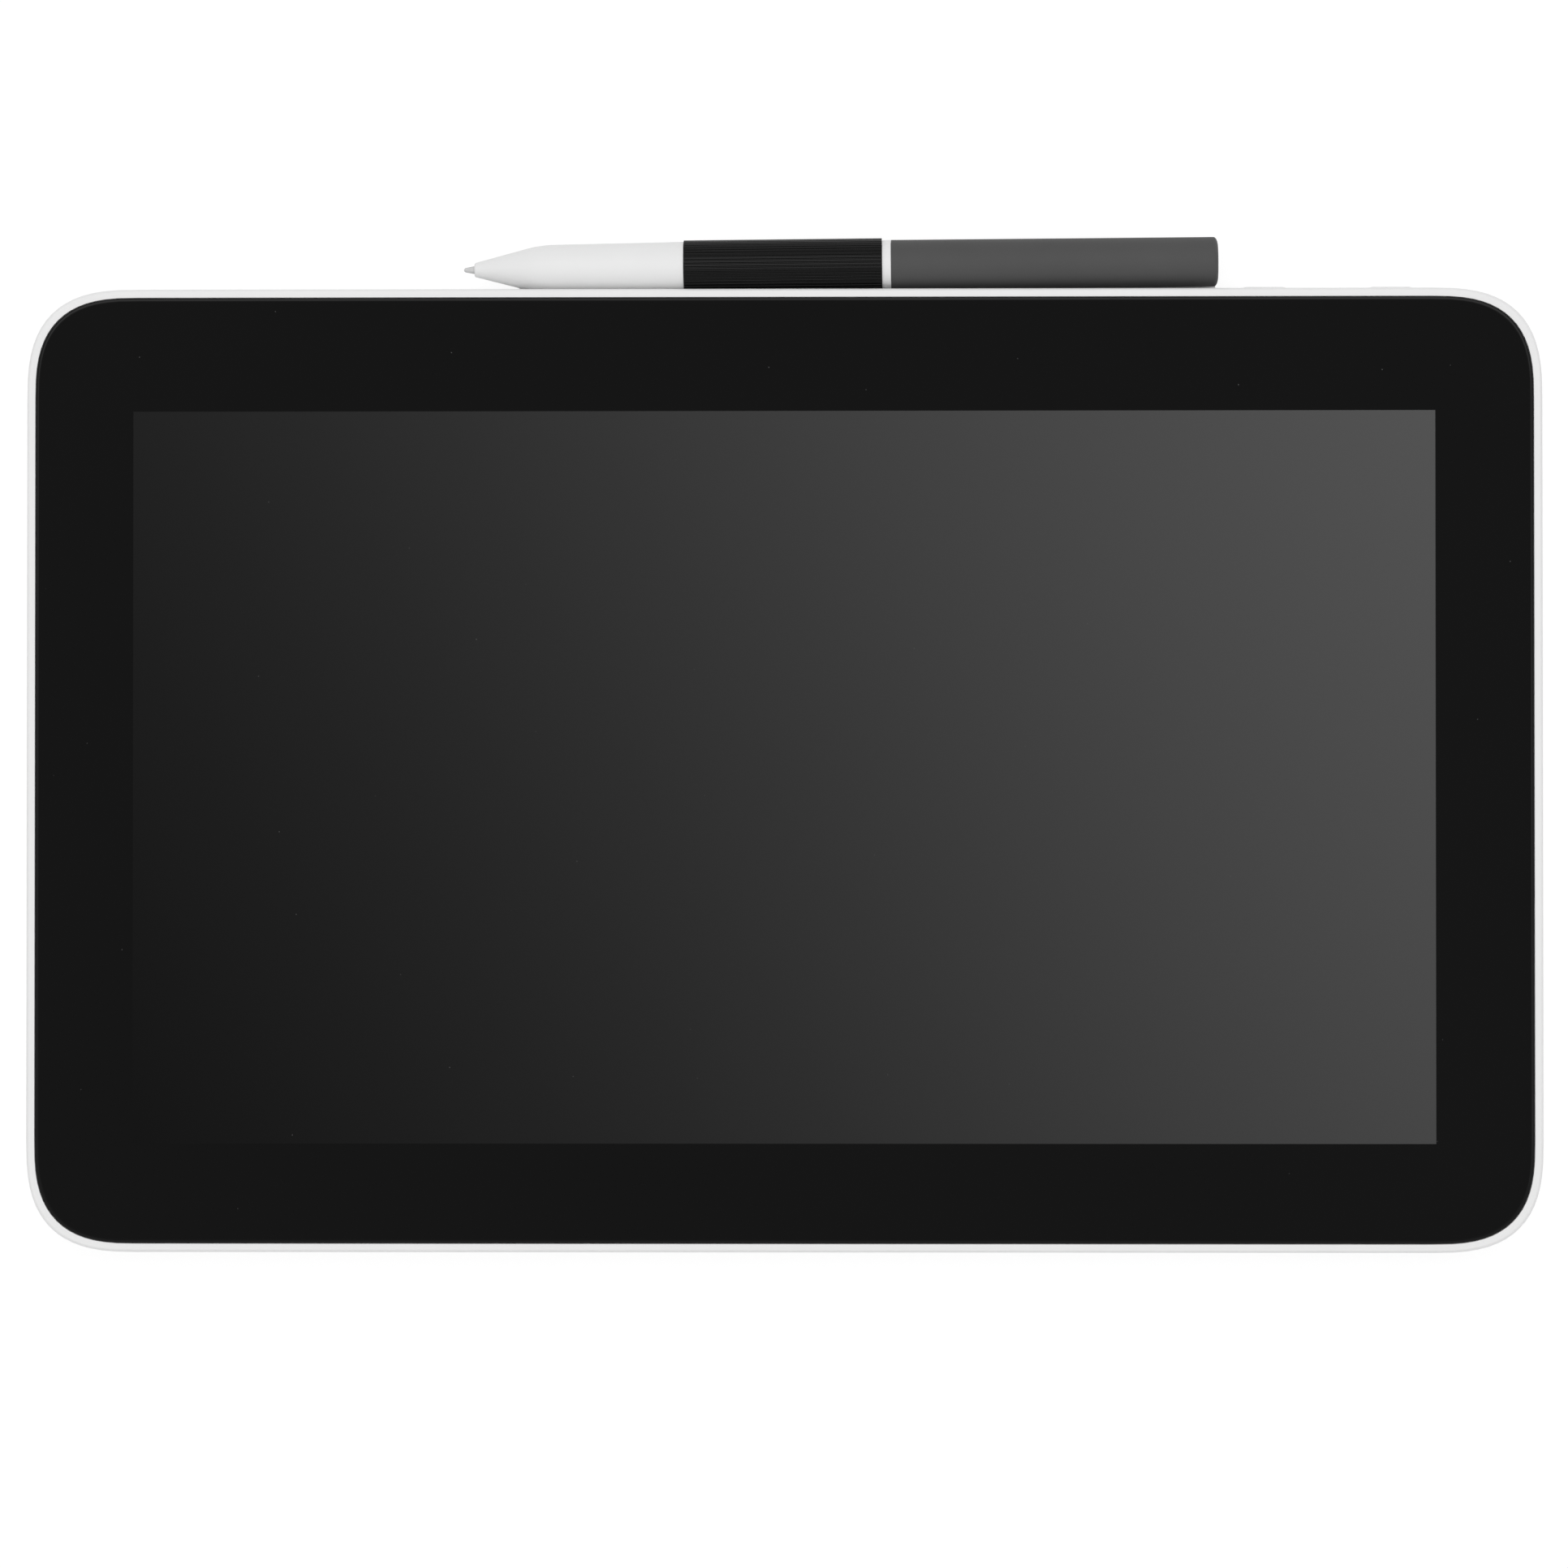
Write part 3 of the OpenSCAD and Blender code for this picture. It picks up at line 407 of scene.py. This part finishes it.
smooth_corners = smoothing_group()
for name in ("rear_shell", "cover_glass"):
    smooth = nodes[name].modifiers.new("smooth corners", "NODES")
    smooth.node_group = smooth_corners
    normals = nodes[name].modifiers.new("flat faces lead", "WEIGHTED_NORMAL")
    normals.mode = "FACE_AREA"
    normals.weight = 100
    normals.keep_sharp = True


def add_piece(name, shape, material):
    """Object made from a bmesh, which is freed."""
    mesh = bpy.data.meshes.new(name)
    shape.to_mesh(mesh)
    shape.free()
    mesh.materials.append(material)
    piece = bpy.data.objects.new(name, mesh)
    scene.collection.objects.link(piece)
    return piece


# Ports: rows of gilt contacts on both faces of each tongue. CONTACT_FRONT is the place of their front
# ends, from the back of the port's shell.
CONTACTS = 12
CONTACT_PITCH = 0.5 * MM
CONTACT_SIZE = Vector((0.26, 1.9, 0.03)) * MM
CONTACT_BEVEL = 0.008 * MM
CONTACT_FRONT = 5.1 * MM
TONGUE_T = 0.7 * MM


def contact_rows(side, material):
    """Bevelled strips let a little into the tongue of one port."""
    low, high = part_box("usb_port_" + side)
    middle = (low + high) / 2
    y = low.y + CONTACT_FRONT - CONTACT_SIZE.y / 2
    shape = bmesh.new()
    for face in (-1, 1):
        for i in range(CONTACTS):
            x = middle.x + (i - (CONTACTS - 1) / 2) * CONTACT_PITCH
            place = Vector((x, y, middle.z + face * TONGUE_T / 2))
            for vert in bmesh.ops.create_cube(shape, size=1)["verts"]:
                vert.co = place + Vector(a * b for a, b in zip(vert.co, CONTACT_SIZE))
    bmesh.ops.bevel(
        shape, geom=shape.edges[:], offset=CONTACT_BEVEL, segments=1, affect="EDGES", profile=0.5)
    piece = add_piece("contacts_" + side, shape, material)
    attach(piece, "tablet")


gilding = gilt("gilt_contacts")
for side in ("left", "right"):
    contact_rows(side, gilding)


# Buttons: the form of the CAD's, standing a little prouder, with a soft edge round the face
BUTTON_PROUD = 0.44 * MM
CAD_PROUD = 0.32 * MM
BUTTON_RAMP = 1.6 * MM
BUTTON_LIP = 0.5 * MM
BUTTON_FLANGE = 0.8 * MM
BUTTON_EDGE = 0.15 * MM
BUTTON_EDGE_TURNS = (0, 30, 60, 90)
BUTTON_ARC = 12
BUTTON_SHARP = math.radians(40)


def round_ended(half_len, half_high):
    """Round-ended outline as (x, z) pairs: along the top, then back along the bottom."""
    turns = [math.pi / 2 * (1 - i / (BUTTON_ARC + 0.5)) for i in range(BUTTON_ARC + 1)]
    right = [(half_len + half_high * (math.cos(a) - 1), half_high * math.sin(a)) for a in turns]
    top = [(-x, z) for x, z in reversed(right)] + right
    return top + [(x, -z) for x, z in reversed(top)]


def button_rings(low_y, wall_y, half):
    """Outlines of a button from its back to its face: the flange, the cap's foot and its soft edge."""
    cap_len, cap_high = half.x - BUTTON_LIP, half.z - BUTTON_LIP
    flange_y = low_y + BUTTON_FLANGE
    rings = [[(x, y, z) for x, z in round_ended(half.x, half.z)] for y in (low_y, flange_y)]
    rings.append([(x, flange_y, z) for x, z in round_ended(cap_len, cap_high)])
    for turn in BUTTON_EDGE_TURNS:
        inset = BUTTON_EDGE * (1 - math.cos(math.radians(turn)))
        drop = BUTTON_EDGE * (1 - math.sin(math.radians(turn)))
        ring = []
        for x, z in round_ended(cap_len - inset, cap_high - inset):
            up_slope = min(1, (cap_len - abs(x)) / BUTTON_RAMP)
            rise = BUTTON_PROUD * (1 - math.cos(math.pi * up_slope)) / 2
            ring.append((x, wall_y + rise - drop, z))
        rings.append(ring)
    return rings


def push_button(node):
    """Cap with sloped ends and a flange behind the wall, drawn in place of the CAD's button."""
    low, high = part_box(node)
    middle, half = (low + high) / 2, (high - low) / 2
    shape = bmesh.new()
    rings = [
        [shape.verts.new((middle.x + x, y, middle.z + z)) for x, y, z in ring]
        for ring in button_rings(low.y, high.y - CAD_PROUD, half)]
    for a, b in zip(rings, rings[1:]):
        for i in range(len(a)):
            shape.faces.new((a[i - 1], a[i], b[i], b[i - 1]))
    for ring in (rings[0], rings[-1]):
        for i in range(len(ring) // 2 - 1):
            shape.faces.new((ring[i], ring[i + 1], ring[-2 - i], ring[-1 - i]))
    bmesh.ops.recalc_face_normals(shape, faces=shape.faces[:])
    for face in shape.faces:
        face.smooth = True
    for edge in shape.edges:
        edge.smooth = edge.calc_face_angle() < BUTTON_SHARP
    piece = add_piece(node + "_cap", shape, MATERIALS["white_case"])
    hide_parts(node)
    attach(piece, node)


for node in ("power_button", "menu_button"):
    push_button(node)


# Floor: white to the eye, with the object's soft shadow
FLOOR_HALF = 12
FLOOR_DROP = 0.0001
FLOOR_GLOW = 0.85
FLOOR_SHOWN = 0.2
FLOOR_WHITE = 0.85


def seen_directly(tree):
    """1 for rays from the camera and for rays in gloss and glass."""
    path = tree.nodes.new("ShaderNodeLightPath").outputs
    total = path["Is Camera Ray"]
    for kind in ("Is Glossy Ray", "Is Transmission Ray"):
        most = tree.nodes.new("ShaderNodeMath")
        most.operation = "MAXIMUM"
        tree.links.new(total, most.inputs[0])
        tree.links.new(path[kind], most.inputs[1])
        total = most.outputs[0]
    return total


def floor_material():
    """Plain pale floor to the light, and a white one that keeps some of the shadow to the eye."""
    material = bpy.data.materials.new("pale_floor")
    material.use_nodes = True
    tree = material.node_tree
    tree.nodes.clear()
    add, link = tree.nodes.new, tree.links.new
    plain, shown = add("ShaderNodeBsdfDiffuse"), add("ShaderNodeBsdfDiffuse")
    plain.inputs["Color"].default_value = grey(FLOOR_WHITE)
    shown.inputs["Color"].default_value = grey(FLOOR_SHOWN)
    glow = add("ShaderNodeEmission")
    glow.inputs["Strength"].default_value = FLOOR_GLOW
    both, choice = add("ShaderNodeAddShader"), add("ShaderNodeMixShader")
    out = add("ShaderNodeOutputMaterial")
    link(shown.outputs[0], both.inputs[0])
    link(glow.outputs[0], both.inputs[1])
    link(seen_directly(tree), choice.inputs[0])
    link(plain.outputs[0], choice.inputs[1])
    link(both.outputs[0], choice.inputs[2])
    link(choice.outputs[0], out.inputs["Surface"])
    return material


floor_mesh = bpy.data.meshes.new("floor")
corners = [(x * FLOOR_HALF, y * FLOOR_HALF, -FLOOR_DROP) for x, y in ((-1, -1), (1, -1), (1, 1), (-1, 1))]
floor_mesh.from_pydata(corners, [], [(0, 1, 2, 3)])
floor_mesh.materials.append(floor_material())
floor = bpy.data.objects.new("floor", floor_mesh)
scene.collection.objects.link(floor)

# World: a soft studio dome, as levels by the angle from the zenith, on its far side and on its near side
STUDIO_FAR = [(90, 0.45), (60, 0.62), (35, 0.65), (0, 0.65)]
STUDIO_NEAR = [(90, 1.5), (80, 0.9), (65, 0.58), (35, 0.6), (0, 0.62)]


def dome_light(tree, height, levels):
    """Light of one side of the dome, by the height of its direction."""
    ring, light = tree.nodes.new("ShaderNodeValToRGB"), tree.nodes.new("ShaderNodeBackground")
    fill_ramp(ring, [(math.cos(math.radians(from_zenith)), grey(level)) for from_zenith, level in levels])
    tree.links.new(height, ring.inputs["Fac"])
    tree.links.new(ring.outputs["Color"], light.inputs["Color"])
    return light.outputs[0]


def studio():
    """World that lights with both sides of the dome, blended between them, and shows a white backdrop."""
    world = bpy.data.worlds.new("studio")
    world.use_nodes = True
    scene.world = world
    tree = world.node_tree
    tree.nodes.clear()
    add, link = tree.nodes.new, tree.links.new
    axes = add("ShaderNodeSeparateXYZ")
    link(add("ShaderNodeTexCoord").outputs["Generated"], axes.inputs[0])
    nearness = add("ShaderNodeMapRange")
    nearness.inputs["From Min"].default_value = 1
    nearness.inputs["From Max"].default_value = -1
    link(axes.outputs["Y"], nearness.inputs["Value"])
    light, choice = add("ShaderNodeMixShader"), add("ShaderNodeMixShader")
    link(nearness.outputs["Result"], light.inputs[0])
    link(dome_light(tree, axes.outputs["Z"], STUDIO_FAR), light.inputs[1])
    link(dome_light(tree, axes.outputs["Z"], STUDIO_NEAR), light.inputs[2])
    backdrop, out = add("ShaderNodeBackground"), add("ShaderNodeOutputWorld")
    backdrop.inputs["Color"].default_value = grey(1)
    link(seen_directly(tree), choice.inputs[0])
    link(light.outputs[0], choice.inputs[1])
    link(backdrop.outputs[0], choice.inputs[2])
    link(choice.outputs[0], out.inputs["Surface"])


studio()

# Key: a broad soft disc overhead, 16 degrees to the far side
KEY_PLACE = Vector((0, 1.654, 5.768))
KEY_SIZE = 6.4
KEY_POWER = 157

key_light = bpy.data.lights.new("key_lamp", "AREA")
key_light.shape = "DISK"
key_light.size = KEY_SIZE
key_light.energy = KEY_POWER
key_lamp = bpy.data.objects.new("key_lamp", key_light)
key_lamp.location = KEY_PLACE
key_lamp.rotation_euler = (-KEY_PLACE).to_track_quat("-Z", "Y").to_euler()
scene.collection.objects.link(key_lamp)

# Camera, solved from the edges of the case, the glass and the pen in the photograph
CAMERA_PLACE = (0.032879, -0.035393, 1.6)
CAMERA_TURN = (0.017284, 0.020653, -0.000059)
CAMERA_LENS = 184.6553
CAMERA_SENSOR = 36

lens = bpy.data.cameras.new("camera")
lens.sensor_width = CAMERA_SENSOR
lens.lens = CAMERA_LENS
camera = bpy.data.objects.new("camera", lens)
camera.location = CAMERA_PLACE
camera.rotation_euler = CAMERA_TURN
scene.collection.objects.link(camera)
scene.camera = camera
